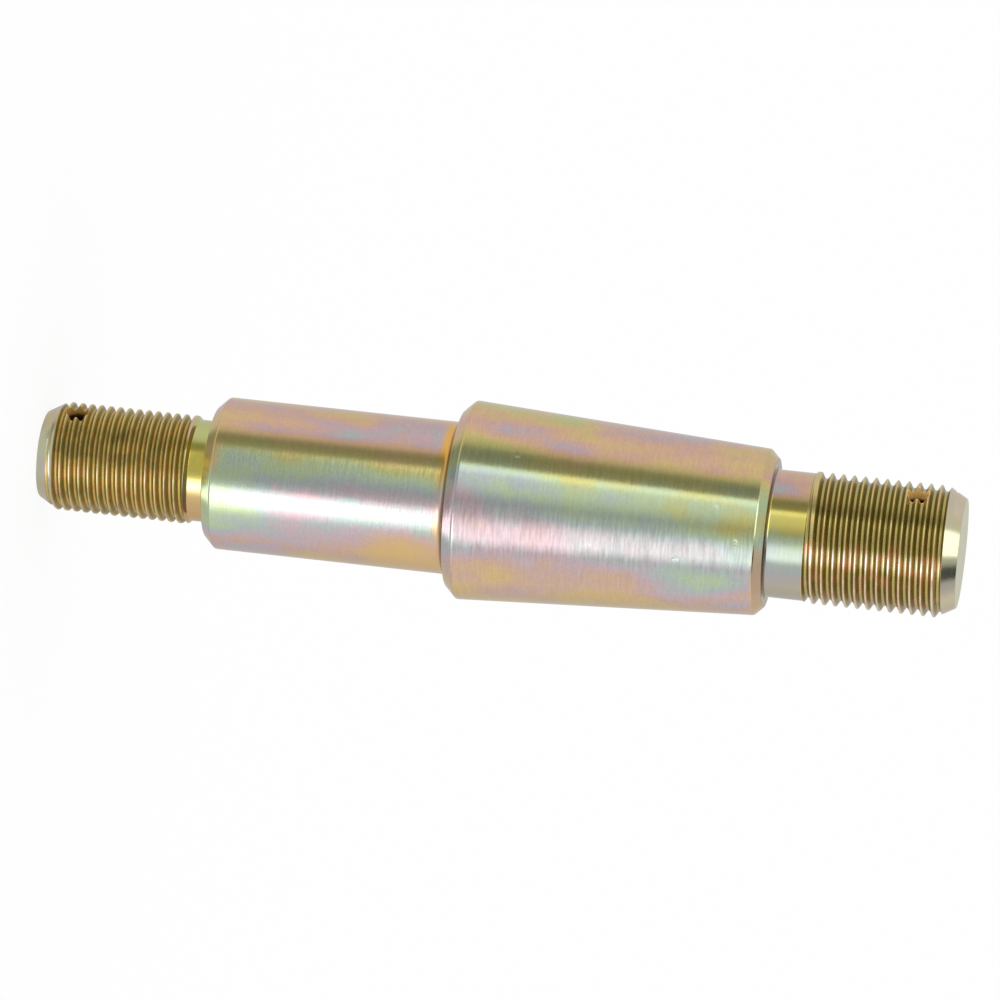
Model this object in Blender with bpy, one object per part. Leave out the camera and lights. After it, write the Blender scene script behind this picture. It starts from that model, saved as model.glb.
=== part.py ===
"""Lift arm pin: one turned and threaded steel piece, yellow zinc passivated.

Metres, +Z up. The pin stands on its small threaded end. The origin is the
centre of that end's flat face, and +Z runs along the turning axis towards
the large threaded end. Both split pin holes are drilled along X.
"""

import math

import bpy
import bmesh
from mathutils import Matrix, Vector

# Driving dimensions along the axis, from the small end to the large end
SMALL_THREAD_LENGTH = 0.0225
SMALL_NECK_LENGTH = 0.0027
SHANK_LENGTH = 0.0360
TAPER_LENGTH = 0.0461
LARGE_NECK_LENGTH = 0.0056
LARGE_THREAD_LENGTH = 0.0220

# Diameters, the shank 7/8 inch
SMALL_END_FACE_DIAMETER = 0.0127
SMALL_THREAD_DIAMETER = 0.015875
SMALL_NECK_DIAMETER = 0.01484
SHANK_DIAMETER = 0.022225
TAPER_LARGE_DIAMETER = 0.0290
TAPER_SMALL_DIAMETER = 0.02415
LARGE_NECK_DIAMETER = 0.0185
LARGE_THREAD_DIAMETER = 0.01905
LARGE_END_FACE_DIAMETER = 0.0158

# Threads, both right-handed unified fine: 5/8 inch 18 and 3/4 inch 16, with the basic depth
SMALL_THREAD_PITCH = 0.0014111
LARGE_THREAD_PITCH = 0.0015875
THREAD_DEPTH_IN_PITCHES = 0.5413
CREST_FLAT_IN_PITCHES = 1 / 8
FLANK_ANGLE = math.radians(30)
RUN_OUT_TURN = 0.5

# Edges: 45 degree chamfers by their leg, fillets by their radius
END_CHAMFER_ANGLE = math.radians(30)
SHANK_CHAMFER = 0.0015
TAPER_LARGE_CHAMFER = 0.0016
TAPER_SMALL_CHAMFER = 0.00125
SHANK_FILLET = 0.0012
NECK_FILLET = 0.0006

# Split pin holes, straight through both threads
SPLIT_PIN_DIAMETER = 0.0029
SPLIT_PIN_CLEARANCE = 0.0003
SMALL_HOLE_FROM_END = 0.00485
LARGE_HOLE_FROM_END = 0.0068
HOLE_EDGE_BREAK = 0.00025

# Where the first groove's middle starts beyond the neck, on +X
SMALL_GROOVE_FROM_NECK = 0.00065
LARGE_GROOVE_FROM_NECK = 0.00086

# Fineness of the round surfaces
SEGMENTS = 36
FILLET_STEPS = 3
FILLET_SHARE_OF_SHOULDER = 0.8
SHARP_ANGLE = math.radians(20)
WELD_DISTANCE = 0.000002

# Places along the axis
SMALL_NECK_Z = SMALL_THREAD_LENGTH
SHANK_Z = SMALL_NECK_Z + SMALL_NECK_LENGTH
TAPER_Z = SHANK_Z + SHANK_LENGTH
LARGE_NECK_Z = TAPER_Z + TAPER_LENGTH
LARGE_THREAD_Z = LARGE_NECK_Z + LARGE_NECK_LENGTH
TOTAL_LENGTH = LARGE_THREAD_Z + LARGE_THREAD_LENGTH


def clear_scene():
    for old in list(bpy.data.objects):
        bpy.data.objects.remove(old, do_unlink=True)


def shoulder_fillet(radius, inner_r, outer_r):
    """The fillet in a shoulder's corner, limited so that a flat stays outside it."""
    return min(radius, (outer_r - inner_r) * FILLET_SHARE_OF_SHOULDER)


def fillet_points(center_r, center_z, radius, start, end):
    """Points of an arc about (center_r, center_z), both ends included."""
    points = []
    for step in range(FILLET_STEPS + 1):
        angle = start + (end - start) * step / FILLET_STEPS
        r = center_r + radius * math.cos(angle)
        z = center_z + radius * math.sin(angle)
        points.append((r, z))
    return points


def small_neck_profile():
    """From the small thread's last crest to the foot of the washer shoulder."""
    thread_r = SMALL_THREAD_DIAMETER / 2
    neck_r = SMALL_NECK_DIAMETER / 2
    fillet = shoulder_fillet(NECK_FILLET, neck_r, SHANK_DIAMETER / 2 - SHANK_CHAMFER)
    points = [(thread_r, SMALL_NECK_Z), (neck_r, SMALL_NECK_Z + abs(thread_r - neck_r))]
    return points + fillet_points(neck_r + fillet, SHANK_Z - fillet, fillet, math.pi, math.pi / 2)


def shank_profile():
    """The washer shoulder's chamfer, the shank and the fillet at its far end."""
    shank_r = SHANK_DIAMETER / 2
    fillet = shoulder_fillet(SHANK_FILLET, shank_r, TAPER_LARGE_DIAMETER / 2 - TAPER_LARGE_CHAMFER)
    points = [(shank_r - SHANK_CHAMFER, SHANK_Z), (shank_r, SHANK_Z + SHANK_CHAMFER)]
    return points + fillet_points(shank_r + fillet, TAPER_Z - fillet, fillet, math.pi, math.pi / 2)


def taper_profile():
    """The tapered body with a chamfer at each end."""
    large_r = TAPER_LARGE_DIAMETER / 2
    small_r = TAPER_SMALL_DIAMETER / 2
    points = [(large_r - TAPER_LARGE_CHAMFER, TAPER_Z), (large_r, TAPER_Z + TAPER_LARGE_CHAMFER)]
    points += [(small_r, LARGE_NECK_Z - TAPER_SMALL_CHAMFER), (small_r - TAPER_SMALL_CHAMFER, LARGE_NECK_Z)]
    return points


def large_neck_profile():
    """From the foot of the taper's small shoulder to the large thread's first crest."""
    thread_r = LARGE_THREAD_DIAMETER / 2
    neck_r = LARGE_NECK_DIAMETER / 2
    fillet = shoulder_fillet(NECK_FILLET, neck_r, TAPER_SMALL_DIAMETER / 2 - TAPER_SMALL_CHAMFER)
    points = fillet_points(neck_r + fillet, LARGE_NECK_Z + fillet, fillet, -math.pi / 2, -math.pi)
    return points + [(neck_r, LARGE_THREAD_Z - abs(thread_r - neck_r)), (thread_r, LARGE_THREAD_Z)]


def on_pin(r, angle, z):
    return Vector((r * math.cos(angle), r * math.sin(angle), z))


def turned_rings(shape, profile):
    """One ring of vertices for each profile point, with faces between neighbouring rings."""
    rings = []
    for r, z in profile:
        rings.append([shape.verts.new(on_pin(r, math.tau * step / SEGMENTS, z)) for step in range(SEGMENTS)])
    for ring, following in zip(rings, rings[1:]):
        for step in range(SEGMENTS):
            after = (step + 1) % SEGMENTS
            shape.faces.new((ring[step], ring[after], following[after], following[step]))
    return rings


def groove_corners(major_r, pitch, depth):
    """The V groove between two crests as (radius, height): 60 degree flanks and a flat root."""
    mouth = (1 - CREST_FLAT_IN_PITCHES) * pitch / 2
    root = mouth - THREAD_DEPTH_IN_PITCHES * pitch * math.tan(FLANK_ANGLE)
    return [(major_r, -mouth), (major_r - depth, -root), (major_r - depth, root), (major_r, mouth)]


def thread_from_neck(shape, neck_ring, diameter, pitch, groove_start, length, neck_z, way):
    """A right-handed thread that grows from the neck's ring and runs past its end face.

    way is 1 where it climbs +Z from the neck and -1 where it goes down. The
    groove starts with no depth and reaches its full depth within RUN_OUT_TURN.
    """
    steps = math.ceil((length - groove_start + 2 * pitch) / pitch * SEGMENTS)
    sections = []
    for step in range(steps + 1):
        turn = step / SEGMENTS
        depth = THREAD_DEPTH_IN_PITCHES * pitch * min(1.0, turn / RUN_OUT_TURN)
        along = groove_start + turn * pitch
        corners = groove_corners(diameter / 2, pitch, depth)
        angle = way * turn * math.tau
        sections.append([shape.verts.new(on_pin(r, angle, neck_z + way * (along + h))) for r, h in corners])

    # Flanks and root, then the crest between one turn and the next
    for section, following in zip(sections, sections[1:]):
        for corner in range(3):
            shape.faces.new((section[corner], section[corner + 1], following[corner + 1], following[corner]))
    for step in range(steps - SEGMENTS):
        upper = step + SEGMENTS
        shape.faces.new((sections[step][3], sections[upper][0], sections[upper + 1][0], sections[step + 1][3]))

    # The plain band between the neck's ring and the first turn
    for step in range(SEGMENTS):
        near = neck_ring[way * step % SEGMENTS]
        next_near = neck_ring[way * (step + 1) % SEGMENTS]
        beside = sections[0] if step == SEGMENTS - 1 else []
        shape.faces.new([near, next_near, *beside, sections[step + 1][0], sections[step][0]])

    # The far end, which the end chamfer and face cut away
    tip = shape.verts.new((0, 0, neck_z + way * (along + pitch)))
    rim = [section[3] for section in sections[-SEGMENTS - 1:]] + sections[-1][2::-1]
    for first, second in zip(rim, rim[1:] + rim[:1]):
        shape.faces.new((first, second, tip))


def closed_mesh(name, shape):
    bmesh.ops.recalc_face_normals(shape, faces=shape.faces)
    mesh = bpy.data.meshes.new(name)
    shape.to_mesh(mesh)
    shape.free()
    return mesh


def threaded_bar():
    """The whole turned outline with both threads, each longer than the finished pin."""
    shape = bmesh.new()
    profile = small_neck_profile() + shank_profile() + taper_profile() + large_neck_profile()
    rings = turned_rings(shape, profile)
    thread_from_neck(
        shape, rings[0], SMALL_THREAD_DIAMETER, SMALL_THREAD_PITCH,
        SMALL_GROOVE_FROM_NECK, SMALL_THREAD_LENGTH, SMALL_NECK_Z, way=-1)
    thread_from_neck(
        shape, rings[-1], LARGE_THREAD_DIAMETER, LARGE_THREAD_PITCH,
        LARGE_GROOVE_FROM_NECK, LARGE_THREAD_LENGTH, LARGE_THREAD_Z, way=1)
    return closed_mesh('lift_arm_pin', shape)


def turned_cutter(name, profile):
    """A hidden solid of revolution about Z from a list of (radius, height)."""
    shape = bmesh.new()
    line = [shape.verts.new((r, 0.0, z)) for r, z in profile]
    edges = [shape.edges.new(pair) for pair in zip(line, line[1:])]
    bmesh.ops.spin(
        shape, geom=line + edges, cent=(0, 0, 0), axis=(0, 0, 1),
        angle=math.tau, steps=SEGMENTS, use_merge=True)
    bmesh.ops.remove_doubles(shape, verts=shape.verts, dist=1e-7)
    cutter = bpy.data.objects.new(name, closed_mesh(name, shape))
    cutter.hide_render = True
    cutter.display_type = 'WIRE'
    bpy.context.collection.objects.link(cutter)
    return cutter


def end_envelope():
    """What both end faces and their lead chamfers leave standing, wider than the pin elsewhere."""
    small_r = SMALL_END_FACE_DIAMETER / 2
    large_r = LARGE_END_FACE_DIAMETER / 2
    wide_r = max(SHANK_DIAMETER, TAPER_LARGE_DIAMETER, TAPER_SMALL_DIAMETER)
    slope = math.tan(END_CHAMFER_ANGLE)
    profile = [(0.0, 0.0), (small_r, 0.0), (wide_r, (wide_r - small_r) / slope)]
    profile += [(wide_r, TOTAL_LENGTH - (wide_r - large_r) / slope), (large_r, TOTAL_LENGTH), (0.0, TOTAL_LENGTH)]
    return turned_cutter('end_envelope', profile)


def hole_drill(name, thread_diameter, z):
    """A drill along X that also breaks the hole's edge where it leaves the thread on each side."""
    hole_r = (SPLIT_PIN_DIAMETER + SPLIT_PIN_CLEARANCE) / 2
    flat = thread_diameter / 2 - HOLE_EDGE_BREAK
    reach = thread_diameter / 2 + hole_r
    flare = hole_r + reach - flat
    profile = [(0.0, -reach), (flare, -reach), (hole_r, -flat), (hole_r, flat), (flare, reach), (0.0, reach)]
    drill = turned_cutter(name, profile)
    half_facet = math.pi / SEGMENTS
    drill.data.transform(Matrix.Rotation(half_facet, 4, 'Z'))
    drill.rotation_euler.y = math.pi / 2
    drill.location.z = z
    return drill


def yellow_zinc():
    """Steel under a thin clear yellow passivated zinc coat."""
    material = bpy.data.materials.new('yellow_zinc')
    material.use_nodes = True
    shader = material.node_tree.nodes['Principled BSDF']
    shader.inputs['Base Color'].default_value = (0.62, 0.55, 0.36, 1.0)
    shader.inputs['Metallic'].default_value = 1.0
    shader.inputs['Roughness'].default_value = 0.28
    return material


def add_boolean(body, tool, operation):
    modifier = body.modifiers.new(tool.name, 'BOOLEAN')
    modifier.operation = operation
    modifier.solver = 'EXACT'
    modifier.object = tool
    weld = body.modifiers.new(tool.name + '_weld', 'WELD')
    weld.merge_threshold = WELD_DISTANCE


def lift_arm_pin():
    mesh = threaded_bar()
    mesh.materials.append(yellow_zinc())
    mesh.shade_smooth()
    mesh.set_sharp_from_angle(angle=SHARP_ANGLE)
    pin = bpy.data.objects.new('lift_arm_pin', mesh)
    bpy.context.collection.objects.link(pin)
    add_boolean(pin, end_envelope(), 'INTERSECT')
    small_drill = hole_drill('small_hole_drill', SMALL_THREAD_DIAMETER, SMALL_HOLE_FROM_END)
    large_drill = hole_drill('large_hole_drill', LARGE_THREAD_DIAMETER, TOTAL_LENGTH - LARGE_HOLE_FROM_END)
    add_boolean(pin, small_drill, 'DIFFERENCE')
    add_boolean(pin, large_drill, 'DIFFERENCE')
    return pin


clear_scene()
lift_arm_pin()
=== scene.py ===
# %% [markdown]
# A lift arm pin is one bar of steel, turned in a lathe, threaded at both ends
# and plated with yellow zinc. On a machine its parallel end carries the ball of
# a lower link, and its tapered end sits in a bracket. This file dresses the
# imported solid: it turns a finer copy of the pin, cuts both threads into it,
# gives it the plated finish and sets a plain studio around it.

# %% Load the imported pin
import math

import bmesh
import bpy
from mathutils import Matrix, Vector


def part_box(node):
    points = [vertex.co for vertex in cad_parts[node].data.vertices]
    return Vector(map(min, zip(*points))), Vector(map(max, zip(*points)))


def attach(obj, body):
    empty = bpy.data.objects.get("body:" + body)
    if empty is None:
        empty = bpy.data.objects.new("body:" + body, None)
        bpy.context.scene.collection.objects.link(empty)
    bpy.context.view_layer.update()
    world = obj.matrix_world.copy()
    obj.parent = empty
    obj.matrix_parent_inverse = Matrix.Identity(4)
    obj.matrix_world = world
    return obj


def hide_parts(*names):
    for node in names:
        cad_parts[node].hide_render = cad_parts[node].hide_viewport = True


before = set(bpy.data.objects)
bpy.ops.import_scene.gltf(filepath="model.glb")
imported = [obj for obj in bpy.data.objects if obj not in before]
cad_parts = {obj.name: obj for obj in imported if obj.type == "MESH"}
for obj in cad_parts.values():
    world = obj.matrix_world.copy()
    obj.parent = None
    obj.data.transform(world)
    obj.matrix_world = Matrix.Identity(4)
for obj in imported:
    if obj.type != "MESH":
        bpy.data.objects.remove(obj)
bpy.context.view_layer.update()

MM = 0.001
low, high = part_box("lift_arm_pin")
total_length = high.z - low.z
print("pin", round(total_length / MM, 2), "mm long")

# %% [markdown]
# Node trees are easier to read as sums than as lists of links. This small
# class wraps a node's output, and each operator adds the Math node it stands
# for. It serves both the geometry and the material trees, because a Math node
# works in both.

# %% A wire that can be used in sums
class Wire:
    """One output of a node, which sums can use like a number."""

    def __init__(self, tree, socket):
        self.tree = tree
        self.socket = socket

    def math(self, operation, *others):
        values = dict(enumerate((self, *others)))
        return add(self.tree, "ShaderNodeMath", {"operation": operation}, values)

    def __add__(self, other):
        return self.math("ADD", other)

    def __radd__(self, other):
        return self.math("ADD", other)

    def __sub__(self, other):
        return self.math("SUBTRACT", other)

    def __rsub__(self, other):
        return (self * -1) + other

    def __mul__(self, other):
        return self.math("MULTIPLY", other)

    def __rmul__(self, other):
        return self.math("MULTIPLY", other)

    def __truediv__(self, other):
        return self.math("DIVIDE", other)

    def between(self, start, end):
        """0 below start, 1 above end and a smooth rise from one to the other."""
        settings = {"interpolation_type": "SMOOTHSTEP"}
        values = {"Value": self, "From Min": start, "From Max": end}
        return add(self.tree, "ShaderNodeMapRange", settings, values)


def add(tree, kind, settings=None, values=None, output=0):
    """Adds a node, sets it up, feeds its sockets and returns one of its outputs."""
    node = tree.nodes.new(kind)
    for name, value in (settings or {}).items():
        if name == "stops":
            set_stops(node.color_ramp, value)
        else:
            setattr(node, name, value)
    for name, value in (values or {}).items():
        if isinstance(value, Wire):
            tree.links.new(value.socket, node.inputs[name])
        else:
            node.inputs[name].default_value = value
    return Wire(tree, node.outputs[output]) if node.outputs else node


def combine(tree, operation, first, second=None, output=0, **others):
    """Adds a Vector Math node, which does for vectors what a sum does for numbers."""
    values = {0: first, **others}
    if second is not None:
        values[1] = second
    return add(tree, "ShaderNodeVectorMath", {"operation": operation}, values, output)


def set_stops(ramp, stops):
    """Gives a colour ramp these stops, each a position and a colour."""
    while len(ramp.elements) < len(stops):
        ramp.elements.new(1.0)
    for element, (position, colour) in zip(ramp.elements, stops):
        element.position = position
        element.color = (*colour, 1.0)


# %% [markdown]
# A lathe follows a profile: a line of (radius, height) points that turns about
# the pin's axis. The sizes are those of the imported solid, from the small end
# up. The shank is 7/8 inch, like the bore of a small lower link's ball, the
# threads are 5/8 and 3/4 inch, and the rest is measured at that scale.

# %% The pin's sizes, as in the solid
INCH = 25.4 * MM
small_thread_end = 22.1 * MM
washer_shoulder = 25.2 * MM
ball_shoulder = 61.2 * MM
small_shoulder = 107.3 * MM
large_thread_start = 113.2 * MM

small_face_r = 6.35 * MM
small_thread_r = 5 / 16 * INCH
small_neck_r = 7.42 * MM
shank_r = 7 / 16 * INCH
taper_large_r = 14.5 * MM
taper_small_r = 12.075 * MM
large_neck_r = 9.25 * MM
large_thread_r = 3 / 8 * INCH
large_face_r = 7.9 * MM

shank_chamfer = 1.5 * MM
taper_large_chamfer = 1.6 * MM
taper_small_chamfer = 1.25 * MM
shank_fillet = 1.2 * MM
neck_fillet = 0.6 * MM
end_slope = math.tan(math.radians(30))
shank_length = ball_shoulder - washer_shoulder
print("shank", round(shank_r * 2 / MM, 2), "mm across and", round(shank_length / MM, 1), "mm long")

# %% [markdown]
# No turned edge is truly sharp, and the small radius on it is what catches the
# light. A Bevel modifier could round the finished body, but it would also
# reach into the threads, so the corners are rounded in the profile itself. A
# guard point on each side of an arc keeps the flat faces shaded flat.

# %% Round each corner of the profile
GUARD = 0.1 * MM
ARC_STEPS = 6


def rounded(corners):
    """Turns each corner (radius, height, rounding) into an arc between two guard points."""
    points = [Vector(corners[0][:2])]
    for before, corner, after in zip(corners, corners[1:], corners[2:]):
        here = Vector(corner[:2])
        towards = (Vector(before[:2]) - here).normalized()
        away = (Vector(after[:2]) - here).normalized()
        half = towards.angle(away) / 2
        reach = corner[2] / math.tan(half)
        middle = here + (towards + away).normalized() * corner[2] / math.sin(half)
        points.append(here + towards * (reach + GUARD))
        start = here + towards * reach - middle
        end = here + away * reach - middle
        for step in range(ARC_STEPS + 1):
            points.append(middle + start.lerp(end, step / ARC_STEPS).normalized() * corner[2])
        points.append(here + away * (reach + GUARD))
    points.append(Vector(corners[-1][:2]))
    return points


edge = 0.15 * MM
soft_edge = 0.6 * MM
small_lead = (small_thread_r - small_face_r) / end_slope
large_lead = (large_thread_r - large_face_r) / end_slope
corners = [
    (0, 0, 0),
    (small_face_r, 0, edge),
    (small_thread_r, small_lead, edge),
    (small_thread_r, small_thread_end, edge),
    (small_neck_r, small_thread_end + (small_thread_r - small_neck_r), edge),
    (small_neck_r, washer_shoulder, neck_fillet),
    (shank_r - shank_chamfer, washer_shoulder, edge),
    (shank_r, washer_shoulder + shank_chamfer, soft_edge),
    (shank_r, ball_shoulder, shank_fillet),
    (taper_large_r - taper_large_chamfer, ball_shoulder, edge),
    (taper_large_r, ball_shoulder + taper_large_chamfer, soft_edge),
    (taper_small_r, small_shoulder - taper_small_chamfer, soft_edge),
    (taper_small_r - taper_small_chamfer, small_shoulder, edge),
    (large_neck_r, small_shoulder, neck_fillet),
    (large_neck_r, large_thread_start - (large_thread_r - large_neck_r), edge / 2),
    (large_thread_r, large_thread_start, edge / 2),
    (large_thread_r, total_length - large_lead, edge),
    (large_face_r, total_length, edge),
    (0, total_length, 0),
]
profile = rounded(corners)
print("profile points", len(profile))

# %% [markdown]
# The body, the threads and the drills all follow a rule, so Geometry Nodes
# make them. Each tree is built here with named sizes, and runs on a carrier
# object that is deleted once its result is a plain mesh.

# %% Helpers that build a geometry tree and use it
def new_tree(name, sizes):
    """A geometry tree with one geometry input, the named sizes and one geometry output."""
    tree = bpy.data.node_groups.new(name, "GeometryNodeTree")
    tree.interface.new_socket("Geometry", in_out="INPUT", socket_type="NodeSocketGeometry")
    tree.interface.new_socket("Geometry", in_out="OUTPUT", socket_type="NodeSocketGeometry")
    for size, kind in sizes.items():
        tree.interface.new_socket(size, in_out="INPUT", socket_type=kind)
    source = tree.nodes.new("NodeGroupInput")
    return tree, {socket.name: Wire(tree, socket) for socket in source.outputs if socket.name}


def finish_tree(tree, geometry, material):
    """Every tree ends by making its instances real and setting its material."""
    real = add(tree, "GeometryNodeRealizeInstances", {}, {"Geometry": geometry})
    painted = add(tree, "GeometryNodeSetMaterial", {}, {"Geometry": real, "Material": material})
    add(tree, "NodeGroupOutput", {}, {"Geometry": painted})


def run_tree(name, mesh, tree, sizes):
    """Runs a tree on a mesh with these sizes and returns the plain mesh that it makes."""
    carrier = bpy.data.objects.new(name, mesh)
    bpy.context.scene.collection.objects.link(carrier)
    modifier = carrier.modifiers.new(name, "NODES")
    modifier.node_group = tree
    for item in tree.interface.items_tree:
        if item.name in sizes:
            modifier[item.identifier] = sizes[item.name]
    made = evaluated_mesh(carrier)
    bpy.data.objects.remove(carrier)
    return made


def evaluated_mesh(thing):
    """The plain mesh that an object's modifiers make."""
    depsgraph = bpy.context.evaluated_depsgraph_get()
    return bpy.data.meshes.new_from_object(thing.evaluated_get(depsgraph))


FLOAT = "NodeSocketFloat"
WHOLE = "NodeSocketInt"
OBJECT = "NodeSocketObject"
plated = bpy.data.materials.new("yellow_zinc_plating")

# %% [markdown]
# A Screw modifier would turn the profile too. Here a grid does it: it has one
# column of points for each step round the axis, and each point takes its radius
# and height from the profile. Merging the last column with the first, and the
# points on the axis, closes the solid.

# %% Turn the profile about the axis
SEGMENTS = 192
MERGE_DISTANCE = 0.001 * MM


def turning_tree():
    """Turns a line in the XZ plane about Z into a closed solid."""
    tree, inputs = new_tree("turn_about_axis", {"Segments": WHOLE})
    line = inputs["Geometry"]
    count = add(tree, "GeometryNodeAttributeDomainSize", {"component": "MESH"}, {"Geometry": line})
    values = {"Vertices X": inputs["Segments"] + 1, "Vertices Y": count}
    grid = add(tree, "GeometryNodeMeshGrid", {}, values)
    index = add(tree, "GeometryNodeInputIndex")
    column = (index / count).math("FLOOR")
    position = add(tree, "GeometryNodeInputPosition")
    settings = {"data_type": "FLOAT_VECTOR", "domain": "POINT"}
    values = {"Geometry": line, "Value": position, "Index": index.math("MODULO", count)}
    point = add(tree, "GeometryNodeSampleIndex", settings, values)
    angle = column / inputs["Segments"] * math.tau
    values = {"Vector": point, "Angle": angle}
    turned = add(tree, "ShaderNodeVectorRotate", {"rotation_type": "Z_AXIS"}, values)
    placed = add(tree, "GeometryNodeSetPosition", {}, {"Geometry": grid, "Position": turned})
    values = {"Geometry": placed, "Distance": MERGE_DISTANCE}
    closed = add(tree, "GeometryNodeMergeByDistance", {}, values)
    finish_tree(tree, closed, plated)
    return tree


def line_mesh(name, points):
    """A mesh of edges in the XZ plane through these (radius, height) points."""
    mesh = bpy.data.meshes.new(name)
    vertices = [(r, 0, z) for r, z in points]
    mesh.from_pydata(vertices, [(i, i + 1) for i in range(len(points) - 1)], [])
    return mesh


turn_about_axis = turning_tree()
profile_line = line_mesh("profile", profile)
blank = run_tree("blank", profile_line, turn_about_axis, {"Segments": SEGMENTS})
print("blank", len(blank.vertices), "points")

# %% [markdown]
# A screw thread is a V-shaped groove that climbs the bar by one pitch in each
# turn, and both threads are right-handed. A bump in the material would leave
# the outline smooth, so the groove is cut: a curve makes the path, the closed
# V travels along it, and the result is taken out of the bar. Near the neck the
# tool is drawn out of the work, so the groove fades out within half a turn.

# %% The groove's section, in pitches
THREAD_DEPTH = 0.5413
ROOT_HALF = 0.085
ROOT_ROUNDING = 0.035
FLANK_HALF = 0.145
CREST_HALF = 0.4445
CREST_BREAK = 0.012
OUTSIDE = 0.2


def groove_line(pitch):
    """The closed section of the cutter: x goes inwards from the crest, y along the axis."""
    half = [
        (THREAD_DEPTH, ROOT_HALF),
        (THREAD_DEPTH - ROOT_ROUNDING, FLANK_HALF),
        (-CREST_BREAK, CREST_HALF),
        (-OUTSIDE, CREST_HALF),
    ]
    section = half + [(x, -y) for x, y in reversed(half)]
    vertices = [(-x * pitch, -y * pitch, 0) for x, y in section]
    edges = [(i, (i + 1) % len(section)) for i in range(len(section))]
    mesh = bpy.data.meshes.new("groove_section")
    mesh.from_pydata(vertices, edges, [])
    return mesh


print("groove", THREAD_DEPTH, "of a pitch deep and", 2 * CREST_HALF, "of a pitch wide")

# %% Cut a thread
RUN_OUT_TURNS = 0.45
LIFT_CLEARANCE = 0.02


def threading_tree():
    """Cuts a groove that climbs from Bottom and runs out at Neck, a height near either end."""
    sizes = {
        "Crest Radius": FLOAT,
        "Pitch": FLOAT,
        "Turns": FLOAT,
        "Bottom": FLOAT,
        "Neck": FLOAT,
        "First Angle": FLOAT,
        "Segments": WHOLE,
        "Section": OBJECT,
    }
    tree, inputs = new_tree("cut_thread", sizes)
    values = {
        "Resolution": inputs["Segments"],
        "Rotations": inputs["Turns"],
        "Start Radius": inputs["Crest Radius"],
        "End Radius": inputs["Crest Radius"],
        "Height": inputs["Turns"] * inputs["Pitch"],
        "Reverse": True,
    }
    spiral = add(tree, "GeometryNodeCurveSpiral", {}, values)
    position = add(tree, "GeometryNodeInputPosition")
    height = add(tree, "ShaderNodeSeparateXYZ", {}, {0: position}, output=2) + inputs["Bottom"]
    turns = (height - inputs["Neck"]).math("ABSOLUTE") / inputs["Pitch"]
    lift = 1 - turns.between(0.0, RUN_OUT_TURNS)
    lift = lift * inputs["Pitch"] * (THREAD_DEPTH + LIFT_CLEARANCE)
    outwards = combine(tree, "MULTIPLY", position, (1, 1, 0))
    outwards = combine(tree, "NORMALIZE", outwards)
    lifted = combine(tree, "SCALE", outwards, Scale=lift)
    bottom = add(tree, "ShaderNodeCombineXYZ", {}, {2: inputs["Bottom"]})
    offset = combine(tree, "ADD", lifted, bottom)
    path = add(tree, "GeometryNodeSetPosition", {}, {"Geometry": spiral, "Offset": offset})
    first_angle = add(tree, "ShaderNodeCombineXYZ", {}, {2: inputs["First Angle"]})
    path = add(tree, "GeometryNodeTransform", {}, {"Geometry": path, "Rotation": first_angle})
    path = add(tree, "GeometryNodeSetCurveNormal", {"mode": "Z_UP"}, {"Curve": path})
    section = add(tree, "GeometryNodeObjectInfo", {}, {"Object": inputs["Section"]}, output=4)
    section = add(tree, "GeometryNodeMeshToCurve", {}, {"Mesh": section})
    values = {"Curve": path, "Profile Curve": section, "Fill Caps": True}
    cutter = add(tree, "GeometryNodeCurveToMesh", {}, values)
    settings = {"operation": "DIFFERENCE", "solver": "EXACT"}
    values = {"Mesh 1": inputs["Geometry"], "Mesh 2": cutter}
    cut = add(tree, "GeometryNodeMeshBoolean", settings, values)
    finish_tree(tree, cut, plated)
    return tree


def place_mesh(name, mesh):
    """Puts a mesh in the scene as an object."""
    thing = bpy.data.objects.new(name, mesh)
    bpy.context.scene.collection.objects.link(thing)
    return thing


def threaded(bar, crest_radius, pitch, turns, first_turn, bottom, neck):
    """Returns the bar with a right-hand thread cut between a neck and an end."""
    section = place_mesh("groove_section", groove_line(pitch))
    sizes = {
        "Crest Radius": crest_radius,
        "Pitch": pitch,
        "Turns": float(turns),
        "Bottom": bottom,
        "Neck": neck,
        "First Angle": first_turn * math.tau,
        "Segments": SEGMENTS,
        "Section": section,
    }
    cut = run_tree("threaded_bar", bar, cut_thread, sizes)
    bpy.data.objects.remove(section)
    return cut


cut_thread = threading_tree()
print("threading tree", len(cut_thread.nodes), "nodes")

# %% [markdown]
# The small end has 18 threads to the inch and the large end 16. Both grooves
# lie where the solid has them, but each starts a part of a turn nearer to its
# neck, as on the real pin. They run past the end face, so the lead chamfer
# trims them.

# %% Cut both threads
small_pitch = INCH / 18
large_pitch = INCH / 16
small_start = 21.85 * MM
large_start = 113.76 * MM
SMALL_TURNS = 17
LARGE_TURNS = 15
SMALL_EARLY = 0.25
LARGE_EARLY = 0.6
small_bottom = small_start - SMALL_TURNS * small_pitch
small_neck = small_start + SMALL_EARLY * small_pitch
large_neck = large_start - LARGE_EARLY * large_pitch
small_turns = SMALL_TURNS + SMALL_EARLY
large_turns = LARGE_TURNS + LARGE_EARLY
small_cut = threaded(
    blank, small_thread_r, small_pitch, small_turns, 0, small_bottom, small_neck)
both_cut = threaded(
    small_cut, large_thread_r, large_pitch, large_turns, -LARGE_EARLY, large_neck, large_neck)
print("threaded", len(both_cut.polygons), "faces")

# %% [markdown]
# A split pin goes through a cross hole near each end, so that the nut cannot
# work loose. The drill is a turned shape too: a 3.2 mm hole that widens at
# both mouths, where its sharp edge is broken. Boolean modifiers take the two
# drills out of the pin, after the threads, as in the workshop.

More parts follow.
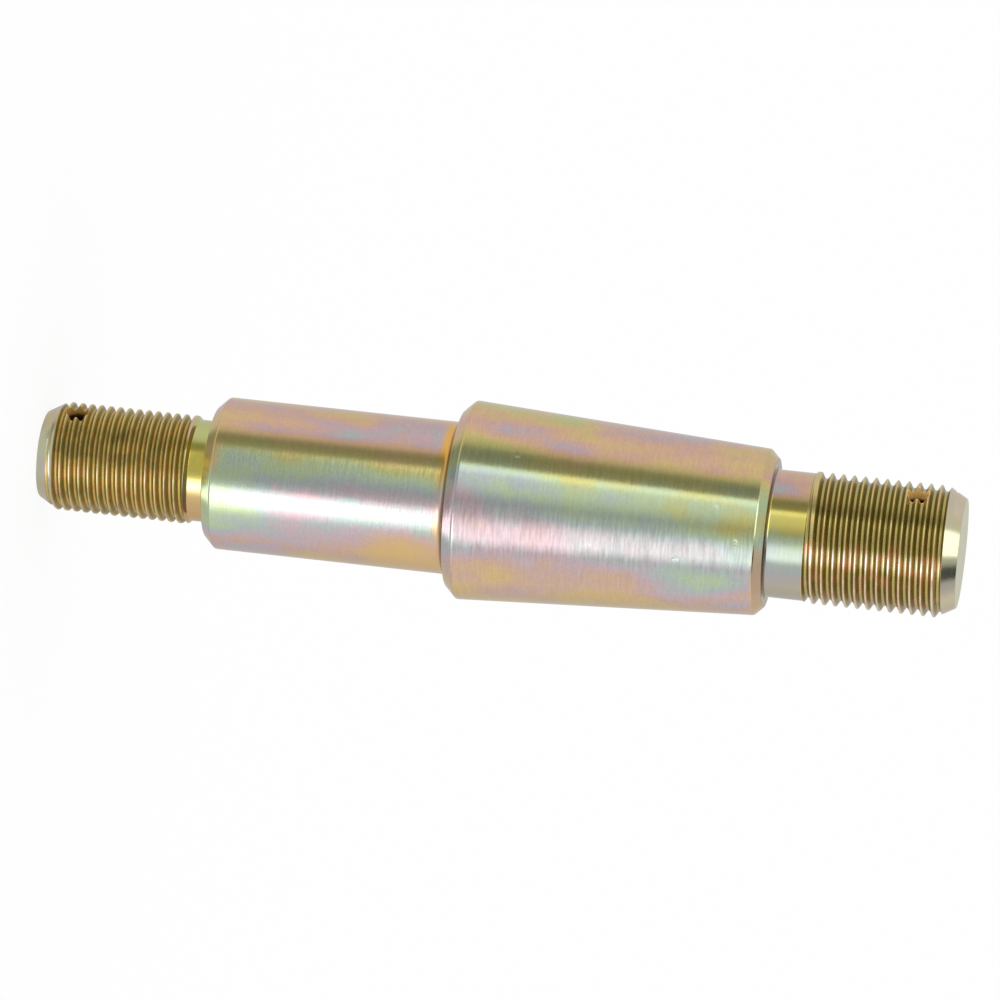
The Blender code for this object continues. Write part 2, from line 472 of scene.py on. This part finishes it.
# %% Drill the split pin holes
hole_r = 1.6 * MM
small_hole_height = 4.85 * MM
large_hole_height = total_length - 6.8 * MM
EDGE_BREAK = 0.25 * MM
FLARE = 1.5 * MM
DRILL_SEGMENTS = 64


def drill(height, bar_r):
    """A drill across the bar along X, with the wider mouths at the bar's surface."""
    mouth = bar_r - EDGE_BREAK
    half = [(0, -mouth - FLARE), (hole_r + FLARE, -mouth - FLARE), (hole_r, -mouth)]
    line = line_mesh("drill_line", half + [(r, -z) for r, z in reversed(half)])
    turned = run_tree("drill", line, turn_about_axis, {"Segments": DRILL_SEGMENTS})
    tool = place_mesh("drill", turned)
    across = Matrix.Rotation(math.radians(90), 4, "Y")
    tool.matrix_world = Matrix.Translation((0, 0, height)) @ across
    return tool


pin = place_mesh("pin_visual", both_cut)
drills = [drill(small_hole_height, small_thread_r), drill(large_hole_height, large_thread_r)]
for tool in drills:
    hole = pin.modifiers.new("hole", "BOOLEAN")
    hole.operation = "DIFFERENCE"
    hole.solver = "EXACT"
    hole.object = tool
drilled = evaluated_mesh(pin)
pin.modifiers.clear()
pin.data = drilled
for tool in drills:
    bpy.data.objects.remove(tool)
print("drilled", len(drilled.polygons), "faces")

# %% [markdown]
# Cutting leaves a few doubled points and hair-thin faces. They are merged, and
# the edges are counted to see that the mesh is closed. Turned faces are shaded
# smooth, and edges sharper than 35 degrees stay crisp.

# %% Clean the mesh and shade it
SHARP = math.radians(35)
WELD = 0.002 * MM
SPECK = 0.001 * MM
clean = bmesh.new()
clean.from_mesh(pin.data)
bmesh.ops.remove_doubles(clean, verts=clean.verts, dist=WELD)
bmesh.ops.dissolve_degenerate(clean, edges=clean.edges, dist=SPECK)
bmesh.ops.recalc_face_normals(clean, faces=clean.faces)
for face in clean.faces:
    face.smooth = True
for seam in clean.edges:
    seam.smooth = seam.calc_face_angle(0.0) < SHARP
open_edges = sum(len(seam.link_faces) != 2 for seam in clean.edges)
triangles = sum(len(face.verts) - 2 for face in clean.faces)
volume = clean.calc_volume(signed=True) / MM**3
print("open edges", open_edges, "triangles", triangles, "volume mm3", round(volume, 1))
clean.to_mesh(pin.data)
clean.free()
pin.data.materials.clear()
pin.data.materials.append(plated)

# %% [markdown]
# A material needs to know where each point lies on the pin. Object coordinates
# say so and stay with the pin when it moves. They are turned into millimetres
# here, and each pattern below is placed by height, radius or side.

# %% Where a point is on the pin, in millimetres
plated.use_nodes = True
tree = plated.node_tree
tree.nodes.clear()


def blend(factor, first, second):
    """The first colour where the factor is 0, the second where it is 1."""
    values = {0: factor, 6: first, 7: second}
    return add(tree, "ShaderNodeMix", {"data_type": "RGBA"}, values, output=2)


def vector(operation, *inputs, **others):
    return combine(tree, operation, *inputs, **others)


def noise(where, scale, detail):
    values = {"Vector": where, "Scale": scale, "Detail": detail}
    return add(tree, "ShaderNodeTexNoise", {}, values)


point = vector("SCALE", add(tree, "ShaderNodeTexCoord", output=3), Scale=1 / MM)
parts = add(tree, "ShaderNodeSeparateXYZ", {}, {0: point}).socket.node
across_x, across_y, height = (Wire(tree, socket) for socket in parts.outputs)
radius = vector("LENGTH", vector("MULTIPLY", point, (1, 1, 0)), output=1)
length = total_length / MM
print("length", round(length, 1), "mm")

# %% [markdown]
# The film's tint is painted by side, a painted sheen: it stands in for interference colours that
# change with the angle at which the pin is seen. Here side runs from -1 on the lower side to 1 on
# the upper one, and body is 1 on the tapered body alone. Two strips along the pin have names,
# because later cells change them: one above the middle, where the dark band of reflection falls,
# and one below, where the highlight falls.

# %% The sides of the pin
UPPER_SIDE = math.radians(148.5)
upwards = (math.cos(UPPER_SIDE), math.sin(UPPER_SIDE), 0)
side = vector("DOT_PRODUCT", point, upwards, output=1) / (radius + 0.01)
body = height.between(58, 62) - height.between(107, 107.6)
reflected_dark_band = side.between(0.3, 0.4) * (1 - side.between(0.55, 0.65))
highlight = side.between(-0.6, -0.4) * (1 - side.between(-0.2, 0.05))
print("upper side at", round(math.degrees(UPPER_SIDE), 1), "degrees round the axis")

# %% [markdown]
# The plating is yellow zinc: a chromate film so thin that it colours the light by interference. Its
# tint runs through gold, peach, pink, lilac, cyan and green as the film thickens, so one number,
# the film's order, can pick the colour from a ramp. The order rises from the lower side to the
# upper one, a painted sheen for the tint that changes with the angle of view, and drifts from patch
# to patch with the bath's currents.

# %% The film's order
patches = noise(vector("MULTIPLY", point, (1, 1, 0.5)), 0.14, 1.5) - 0.5
mottle = noise(point, 0.55, 3.0) - 0.5
# The order is painted by side, a painted sheen.
order = 0.40 - body * 0.10 + side.between(-0.95, -0.45) * (0.27 - body * 0.03)
order = order + side.between(-0.3, 0.15) * (0.17 + body * 0.09)
order = order + side.between(0.15, 0.45) * 0.10 + side.between(0.45, 0.7) * 0.19
order = order + side.between(0.7, 1) * 0.06
low_shank = (0.5 - height.between(32, 54)) * (1 - body) * (1 - side.between(-0.75, -0.3))
low_taper = height.between(88, 98) * body * (1 - side.between(-0.1, 0.1))
low_taper = low_taper * (0.05 + side.between(-0.5, -0.36) * 0.08)
lowest = 1 - side.between(-0.95, -0.7)
order = order + low_shank * 0.3 - lowest * 0.08 + low_taper
# The patches are calmer where the dark band of reflection and the highlight fall.
uneven = 1 - reflected_dark_band * 0.6 - highlight * body * 0.55
order = order + (patches * 1.05 + mottle * 0.2) * uneven
print("order made of", len(tree.nodes), "nodes")

# %% [markdown]
# The ramp holds a little more than one round of the colours. Fine marks from the tool run round the
# pin and thin the film in rings, and small specks break it up, so both scale the ramp's colour a
# little. Where the highlight falls, the rings are painted stronger, a painted glint.

# %% The film's colour
ORDERS = 1.6
FILM = [
    (0.28, (0.66, 0.47, 0.23)),
    (0.43, (0.61, 0.42, 0.33)),
    (0.54, (0.55, 0.43, 0.46)),
    (0.66, (0.43, 0.49, 0.47)),
    (0.79, (0.46, 0.56, 0.36)),
    (0.94, (0.56, 0.53, 0.20)),
    (1.05, (0.67, 0.49, 0.23)),
    (1.18, (0.66, 0.42, 0.31)),
    (1.30, (0.55, 0.41, 0.43)),
    (1.42, (0.42, 0.49, 0.44)),
]
stops = [(position / ORDERS, shade) for position, shade in FILM]
film = add(tree, "ShaderNodeValToRGB", {"stops": stops}, {"Fac": order / ORDERS})
speckle = noise(vector("MULTIPLY", point, (1, 1, 1.6)), 2.2, 3.0) - 0.5
marks = noise(vector("MULTIPLY", point, (0.12, 0.12, 1)), 3.0, 3.0)
# The rings are painted stronger where the highlight falls, a painted glint.
rings_and_glints = (marks - 0.5) * (0.12 + body * 0.13 + highlight * (0.15 + body * 0.45))
film = vector("SCALE", film, Scale=1 + speckle * 0.22 + rings_and_glints)
print("film", len(FILM), "colours")

# %% [markdown]
# The chromate gathers in inside corners and on the narrow necks, where it dries
# thick and golden, and it leaves drips beside the shoulders. Masks of height,
# radius and side say where, and each blends one more colour over the film.

# %% Thick film at the foot of the taper and on the necks
def band(start, end, fade):
    """1 between two heights and 0 beyond them."""
    return height.between(start - fade, start) * (1 - height.between(end, end + fade))


thick = band(60.3, 61.1, 1.5) * (1 - radius.between(12.6, 12.9))
thick = thick * (0.45 + side.between(0, 0.6) * 0.35 + patches * 2)
thick = thick * (0.45 + side.between(-0.7, -0.4) * 0.55)
film = blend(thick, film, (0.80, 0.45, 0.11, 1))
neck_gold = blend(side.between(-0.6, -0.1), (0.58, 0.37, 0.14, 1), (0.70, 0.58, 0.10, 1))
neck_gold = blend(side.between(0.4, 0.65), neck_gold, (0.50, 0.56, 0.20, 1))
# A paler colour is painted on the necks where the highlight falls, a painted highlight.
neck_highlight_strip = side.between(-0.5, -0.38) * (1 - side.between(-0.3, -0.12))
neck_gold = blend(neck_highlight_strip, neck_gold, (0.62, 0.50, 0.28, 1))
necks = band(22.2, 24.8, 0.3) * (1 - radius.between(7.6, 8.4)) * 0.85
streak = side.between(-0.1, 0.15) * (1 - side.between(0.4, 0.6))
necks = necks + band(107.6, 113, 0.2) * (1 - radius.between(9.7, 10.2)) * streak * 0.6
film = blend(necks, film, neck_gold)
large_neck = band(107.6, 112.7, 0.2) * (1 - radius.between(9.7, 10.2))
film = blend(large_neck * (1 - side.between(-0.4, -0.1)) * 0.6, film, (0.42, 0.47, 0.43, 1))
# The large neck is painted 12 % darker except along the top and where the highlight falls, a
# painted shade.
neck_shade = large_neck * (1 - side.between(0.78, 0.92) - highlight)
film = vector("SCALE", film, Scale=1 - neck_shade * 0.12)
print("film, corners and necks", len(tree.nodes), "nodes")

# %% [markdown]
# Where the bath drains off it leaves a thicker drop. The two ends were handled most, so they are
# paler, and the small end is painted darker and browner towards its upper and lower sides. A dark
# line is painted in each inside corner, a painted shade.

# %% Drips, pale ends and painted shade in the corners
drips = band(53, 60, 5) * (1 - side.between(-0.7, -0.45)) * 0.55 + band(26, 27, 1.2) * streak * 0.6
drips = drips * (1 - body) + band(106.0, 107.25, 0.2) * (1 - side.between(-0.35, -0.1)) * 0.6
film = blend(drips, film, (0.70, 0.46, 0.20, 1))
ends = (1 - height.between(2.7, 3.0)) + height.between(length - 3.0, length - 2.7)
film = blend(ends * 0.7, film, (0.60, 0.57, 0.43, 1))
# The small end is painted darker and browner towards its upper and lower sides.
small_end_dark_sides = (1 - height.between(2.7, 3.0)) * (1 - side.between(-0.7, -0.4) + side.between(0.4, 0.7))
film = blend(small_end_dark_sides * 0.4, film, (0.44, 0.34, 0.15, 1))
end_faces = 1 - height.between(0.01, 0.05) + height.between(length - 0.05, length - 0.01)
film = blend(end_faces, film, (0.75, 0.74, 0.53, 1))
# A painted shade: a dark line in each inside corner.
corner_shade = band(60.75, 61.15, 0.3) * (1 - radius.between(12.4, 12.8))
corner_shade = corner_shade + band(107.32, 107.5, 0.1) + band(25.0, 25.15, 0.15)
film = blend(corner_shade * 0.75, film, (0.16, 0.08, 0.03, 1))
print("drips, ends and corners", len(tree.nodes), "nodes")

# %% [markdown]
# Handling has left a few nicks in the tapered body. Each is given by its height
# in millimetres and by its angle in degrees from the upper side. They are too
# small to model, so a ragged spot in the colour and in the bump makes each.

# %% Nicks in the taper
NICKS = [(71.0, 60), (82.6, 110), (95.1, 114), (100.3, 76), (103.5, 99)]
TAPER_SLOPE = 0.056
ragged = noise(point, 2.6, 2.0) * 0.9
nicks = 0.0
for nick_height, nick_angle in NICKS:
    reach = (taper_large_r - (nick_height * MM - ball_shoulder) * TAPER_SLOPE) / MM
    turn = UPPER_SIDE + math.radians(nick_angle)
    centre = (reach * math.cos(turn), reach * math.sin(turn), nick_height)
    away = vector("DISTANCE", point, centre, output=1) + ragged
    nicks = (1 - away.between(0.55, 1.0)) + nicks
film = blend(nicks * 0.25, film, (0.86, 0.84, 0.76, 1))
print("nicks", len(NICKS))

# %% [markdown]
# The threads are rougher than the turned faces. They are painted golden brown, darker below the
# crests, with dark lines between bright crests: partly the film's tone and partly painted shade of
# the grooves. A vertex colour could paint that, but the distance below the crests already tells a
# root from a crest at every point.

# %% Where the threads are, and how deep
small_cone = height * end_slope + small_face_r / MM
large_cone = (length - height) * end_slope + large_face_r / MM
small_lead_r = small_cone.math("MINIMUM", small_thread_r / MM)
large_lead_r = large_cone.math("MINIMUM", large_thread_r / MM)
small_zone = height.between(0.02, 0.06) - height.between(21.9, 22.4)
large_zone = height.between(112.6, 112.9) - height.between(length - 0.06, length - 0.02)
depth = small_zone * small_lead_r + large_zone * large_lead_r - radius
crests = height.between(2.6, 2.9) - height.between(21.6, 22.0)
crests = crests + height.between(113.1, 113.4) - height.between(length - 2.9, length - 2.7)
in_thread = (depth.between(0.02, 0.16) * (small_zone + large_zone)).math("MAXIMUM", crests * 0.85)
large_end = height.between(60, 120)
print("threads found", len(tree.nodes), "nodes")

# %% [markdown]
# The crests are painted pale in the strip below the middle where the highlight falls, a painted
# highlight, and on the large thread over the lower side too. It is stronger on the large thread,
# and large_end says how near a point is to it.

# %% The crests, with a painted highlight
grain = noise(vector("MULTIPLY", point, (1, 1, 1.5)), 0.8, 4.0)
crest = blend(grain.between(0.35, 0.65), (0.72, 0.50, 0.22, 1), (0.60, 0.55, 0.21, 1))
highlight_strip = side.between(-0.5, -0.32) * (1 - side.between(-0.24, -0.08))
crest_highlight = highlight_strip * (0.2 + large_end * 0.75)
crest_highlight = crest_highlight + large_end * (1 - side.between(-0.65, -0.45)) * 0.45
crest = blend(crest_highlight, crest, (0.95, 0.88, 0.86, 1))
print("crests", len(tree.nodes), "nodes")

# %% [markdown]
# Below the crests the film is golden, greener on the large thread. In the highlight strip the large
# thread's grooves are painted paler, a painted highlight, and the small thread's darker, a painted
# shade. One noise spreads old oil over all but the very top, and another spreads brown stains over
# the lower side.

# %% The grooves, golden with oily and brown patches
gold = blend(grain.between(0.3, 0.7), (0.60, 0.36, 0.09, 1), (0.43, 0.38, 0.11, 1))
gold = blend(large_end * 0.7, gold, (0.43, 0.39, 0.15, 1))
gold = blend(highlight_strip * large_end * 0.5, gold, (0.62, 0.58, 0.42, 1))
gold = blend(depth.between(0.05, 0.3), crest, gold)
gold = blend(highlight_strip * (1 - large_end) * 0.3, gold, (0.30, 0.24, 0.11, 1))
oily = noise(vector("MULTIPLY", point, (1, 1, 0.7)), 0.30, 3.0).between(0.50, 0.68)
oily = oily * (0.7 - large_end * 0.4) * (1 - side.between(0.55, 0.8))
gold = blend(oily, gold, (0.29, 0.24, 0.10, 1))
brown = noise(vector("MULTIPLY", point, (1, 1, 2)), 0.45, 2.0).between(0.46, 0.62)
brown = brown * (1 - side.between(-0.2, 0.2))
gold = blend(brown * (0.25 + large_end * 0.3), gold, (0.66, 0.38, 0.24, 1))
print("grooves", len(tree.nodes), "nodes")

# %% [markdown]
# The flanks are painted dark, a painted shade of the grooves, most of all the one that faces the
# large end. The surface normal's Z tells a flank from a crest or a root, which face sideways.

# %% The painted shade on the flanks
normal = add(tree, "ShaderNodeTexCoord", output=1)
tilt = add(tree, "ShaderNodeSeparateXYZ", {}, {0: normal}, output=2)
flank = tilt.between(0.3, 0.8) + (tilt * -1).between(0.3, 0.8) * (0.2 + large_end * 0.7)
flank = flank * depth.between(0.12, 0.35) * (0.6 + grain * 0.6)
flank_shade_colour = blend(brown * (0.3 + large_end * 0.6), (0.24, 0.185, 0.055, 1), (0.42, 0.23, 0.12, 1))
thread_colour = blend(flank * 0.85, gold, flank_shade_colour)
surface_colour = blend(in_thread, film, thread_colour)
print("threads coloured", len(tree.nodes), "nodes")

# %% [markdown]
# The drilled holes are painted gold at the mouth, brightest on the large hole, a painted light on
# the wall, and dark inside, a painted shadow. The mask is the distance from each hole's axis, which
# runs along X.

# %% The split pin holes
HOLE_MASK = (1.63, 1.75)  # millimetres from the axis, just outside the 1.6 mm wall


def from_hole(hole_height):
    """The distance in millimetres from a hole's axis."""
    above = height - hole_height / MM
    flat = add(tree, "ShaderNodeCombineXYZ", {}, {1: across_y, 2: above})
    return vector("LENGTH", flat, output=1)


nearest = from_hole(small_hole_height).math("MINIMUM", from_hole(large_hole_height))
in_hole = 1 - nearest.between(*HOLE_MASK)
surface_x = small_zone * (small_thread_r / MM) + large_zone * (large_thread_r / MM)
mouth_depth = surface_x - across_x.math("ABSOLUTE")
shadow = mouth_depth.between(1.1 + large_end * 0.7, 1.9 + large_end * 0.5)
lit_hole_mouth = blend(large_end, (0.62, 0.36, 0.09, 1), (1.0, 0.70, 0.28, 1))
hole_colour = blend(shadow, lit_hole_mouth, (0.04, 0.02, 0.01, 1))
surface_colour = blend(in_hole, surface_colour, hole_colour)
print("holes at", round(small_hole_height / MM, 2), "and", round(large_hole_height / MM, 2), "mm")

# %% [markdown]
# The steel under the film is a mirror with fine rings from the tool, so it is
# smooth metal with a little bump. Threads, holes and end faces are rougher.
# Bump is enough here, because the rings are far finer than any edge.

# %% Fine turning marks and the finished shader
BUMP_DISTANCE = 0.012 * MM
roughness = 0.10 + marks * 0.10 + in_thread * (0.24 - large_end * 0.12)
roughness = roughness + in_hole * 0.35 + end_faces * 0.2
texture = marks * (0.6 + body * 0.8) + noise(point, 0.8, 3.0) - nicks * 2.5
values = {"Strength": 0.6, "Distance": BUMP_DISTANCE, "Height": texture}
bump = add(tree, "ShaderNodeBump", {}, values)
values = {
    "Base Color": surface_colour,
    "Metallic": 1 - in_hole * 0.6,
    "Roughness": roughness,
    "Normal": bump,
}
shader = add(tree, "ShaderNodeBsdfPrincipled", {}, values)
add(tree, "ShaderNodeOutputMaterial", {}, {"Surface": shader})
print("plating", len(tree.nodes), "nodes")

# %% [markdown]
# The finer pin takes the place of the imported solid. It is one rigid piece, so
# it rides on the only body there is.

# %% Hand the pin over
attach(pin, "root")
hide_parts("lift_arm_pin")
print("pin_visual", len(pin.data.polygons), "faces")

# %% [markdown]
# The studio is a white table under even light. A turned bar is a bent mirror,
# so what shapes it is what it reflects. A light tent stands round it that only
# the metal sees: a tall soft box makes the highlight, a dark gap makes the
# band above it and the rest is pale cloth. Each list below is one ring of the
# tent, with its brightness at azimuths in degrees, and TENT says at which
# elevations the rings hang.

# %% The light tent's cloth
TENT_R = 3.0
LOW = [
    (-225, 0.88), (-208, 0.86), (-197, 0.72), (-190, 0.42), (-185, 0.31), (-176, 0.35),
    (-167, 0.55), (-140, 0.58), (-120, 0.62), (-111, 0.86), (-105, 1.9), (-100, 2.9),
    (-84, 3.0), (-77, 2.1), (-70, 1.5), (-62, 1.1), (-47, 0.98), (-20, 0.88), (5, 0.76),
    (30, 0.66), (53, 0.64), (90, 0.76), (135, 0.88),
]
MIDDLE = [
    (-225, 0.88), (-206, 0.86), (-195, 0.62), (-189, 0.36), (-184, 0.30), (-171, 0.36),
    (-167, 1.55), (-163, 1.6), (-158, 1.10), (-150, 1.02), (-143, 0.93), (-135, 0.74),
    (-127, 0.57), (-119, 0.66), (-112, 0.76), (-98, 1.5), (-83, 1.75), (-70, 0.85),
    (-58, 0.94), (-20, 0.94), (5, 0.78), (30, 0.66), (53, 0.64), (90, 0.76), (135, 0.88),
]
HIGH = [
    (-225, 0.8), (-185, 0.8), (-175, 2.2), (-122, 2.2), (-112, 0.7), (-95, 0.5), (-85, 0.1),
    (-62, 0.1), (-50, 0.6), (60, 0.8), (135, 0.8),
]
EVEN = [(-225, 0.75), (135, 0.75)]
SHADED = [
    (-225, 0.6), (-215, 0.75), (65, 0.75), (85, 0.35), (112, 0.35), (128, 0.7), (135, 0.7),
]
SPLIT = [
    (-225, 0.75), (-25, 0.75), (-8, 2.2), (42, 2.2), (58, 0.75), (78, 0.75), (92, 0.4),
    (108, 0.4), (122, 0.75), (135, 0.75),
]
TENT = [
    (-90, EVEN), (-84, EVEN), (-80, SPLIT), (-67, SPLIT), (-62, SHADED), (-57, SHADED),
    (-50, EVEN), (-25, LOW), (-7.6, LOW), (-7.0, MIDDLE), (30, MIDDLE), (42, HIGH),
    (62, HIGH), (75, EVEN), (90, EVEN),
]
TENT_TURN = 5.5
print("tent rings", len(TENT))

# %% Hang the cloth in rings
FIRST_AZIMUTH = -225
LAST_AZIMUTH = 135
STEP = 2


def brightness(stops, azimuth):
    """The brightness at one azimuth, between the two stops round it."""
    for (start, dim), (end, bright) in zip(stops, stops[1:]):
        if azimuth <= end:
            return dim + (bright - dim) * (azimuth - start) / (end - start)
    return stops[-1][1]


azimuths = range(FIRST_AZIMUTH, LAST_AZIMUTH + 1, STEP)
points = []
shades = []
for elevation, stops in TENT:
    rise = math.radians(elevation)
    ring_r = TENT_R * math.cos(rise)
    for azimuth in azimuths:
        turn = math.radians(azimuth + TENT_TURN)
        points.append((ring_r * math.cos(turn), ring_r * math.sin(turn), TENT_R * math.sin(rise)))
        shades.append(brightness(stops, azimuth))
columns = len(azimuths)
panels = []
for row in range(len(TENT) - 1):
    for column in range(columns - 1):
        corner = row * columns + column
        panels.append((corner, corner + 1, corner + columns + 1, corner + columns))
cloth = bpy.data.meshes.new("light_tent")
cloth.from_pydata(points, [], panels)
shade = cloth.attributes.new("shade", "FLOAT", "POINT")
shade.data.foreach_set("value", shades)
print("tent", len(panels), "panels")

# %% [markdown]
# The cloth glows by itself, and its colour is the shade stored on its points.
# Hidden from the camera, from diffuse rays and from shadows, it changes
# nothing but the reflections in the metal.

# %% Let the cloth glow, seen by the metal alone
glow = bpy.data.materials.new("tent_cloth")
glow.use_nodes = True
glow.cycles.emission_sampling = "NONE"
glow_tree = glow.node_tree
glow_tree.nodes.clear()
shade_value = add(glow_tree, "ShaderNodeAttribute", {"attribute_name": "shade"}, {}, output=2)
glowing = add(glow_tree, "ShaderNodeEmission", {}, {"Color": shade_value, "Strength": 1.0})
add(glow_tree, "ShaderNodeOutputMaterial", {}, {"Surface": glowing})
cloth.materials.append(glow)
tent = place_mesh("light_tent", cloth)
tent.visible_camera = False
tent.visible_diffuse = False
tent.visible_shadow = False
print("brightest", max(shades), "darkest", min(shades))

# %% [markdown]
# The table is white paper that keeps a soft shadow. Extra lamps could make it
# white, but they would bleach the pin too, so the rays that look straight at
# the table see mostly a plain white glow.

# %% The table
TABLE_HALF = 8.0
TABLE_GLOW = 0.88
TABLE_WHITE = (0.96, 0.96, 0.96, 1)
square = [(-1, -1), (1, -1), (1, 1), (-1, 1)]
table_mesh = bpy.data.meshes.new("table")
table_mesh.from_pydata([(x * TABLE_HALF, y * TABLE_HALF, 0) for x, y in square], [], [(0, 1, 2, 3)])
table = place_mesh("table", table_mesh)
table.visible_glossy = False
white = bpy.data.materials.new("white_table")
white.use_nodes = True
white_tree = white.node_tree
white_tree.nodes.clear()
rays = add(white_tree, "ShaderNodeLightPath").socket.node.outputs
looks = ("Is Camera Ray", "Is Glossy Ray", "Is Transmission Ray")
by_camera, by_mirror, by_glass = (Wire(white_tree, rays[name]) for name in looks)
faced = (by_camera + by_mirror + by_glass).math("MINIMUM", 1.0)
lit = add(white_tree, "ShaderNodeBsdfDiffuse", {}, {"Color": TABLE_WHITE})
bright = add(white_tree, "ShaderNodeEmission", {}, {"Strength": 1.0})
mixed = add(white_tree, "ShaderNodeMixShader", {}, {0: faced * TABLE_GLOW, 1: lit, 2: bright})
add(white_tree, "ShaderNodeOutputMaterial", {}, {"Surface": mixed})
table_mesh.materials.append(white)
print("table", TABLE_HALF * 2, "m wide")

# %% [markdown]
# A white world at a strength of 1 lights everything evenly and is the white background too.

# %% The even light
world = bpy.data.worlds.new("even_light")
bpy.context.scene.world = world
world.use_nodes = True
background = world.node_tree.nodes["Background"]
background.inputs["Color"].default_value = (1, 1, 1, 1)
background.inputs["Strength"].default_value = 1.0
print("world strength", background.inputs["Strength"].default_value)

# %% [markdown]
# The pin lies in the picture while it stands here, so the camera is rolled on
# its side. It stands almost a metre away with a long lens and looks from the
# side on which both holes show close to the upper edge.

# %% The camera
AZIMUTH = math.radians(-121.5)
DISTANCE = 0.947
EYE_HEIGHT = 0.1997
ROLL = math.radians(6.23)
AIM_HEIGHT = 67.53 * MM
AIM_SHIFT = 0.47 * MM
LENS = 237.4
eye = Vector((DISTANCE * math.cos(AZIMUTH), DISTANCE * math.sin(AZIMUTH), EYE_HEIGHT))


def camera_axes(target):
    """The picture's right and up and the camera's look, with the pin's top to the right."""
    look = (target - eye).normalized()
    along = Vector((0, 0, 1))
    right = (along - look * look.dot(along)).normalized()
    above = right.cross(look)
    tilted_right = right * math.cos(ROLL) + above * math.sin(ROLL)
    tilted_up = above * math.cos(ROLL) - right * math.sin(ROLL)
    return tilted_right, tilted_up, look


target = Vector((0, 0, AIM_HEIGHT))
target = target + camera_axes(target)[1] * AIM_SHIFT
right, above, look = camera_axes(target)
lens = bpy.data.cameras.new("camera")
lens.lens = LENS
lens.clip_end = 50.0
camera = bpy.data.objects.new("camera", lens)
bpy.context.scene.collection.objects.link(camera)
aimed = Matrix((right, above, -look)).transposed().to_4x4()
camera.matrix_world = Matrix.Translation(eye) @ aimed
bpy.context.scene.camera = camera
bpy.context.scene.view_settings.view_transform = "Standard"
print("camera", round((target - eye).length, 3), "m from the pin")
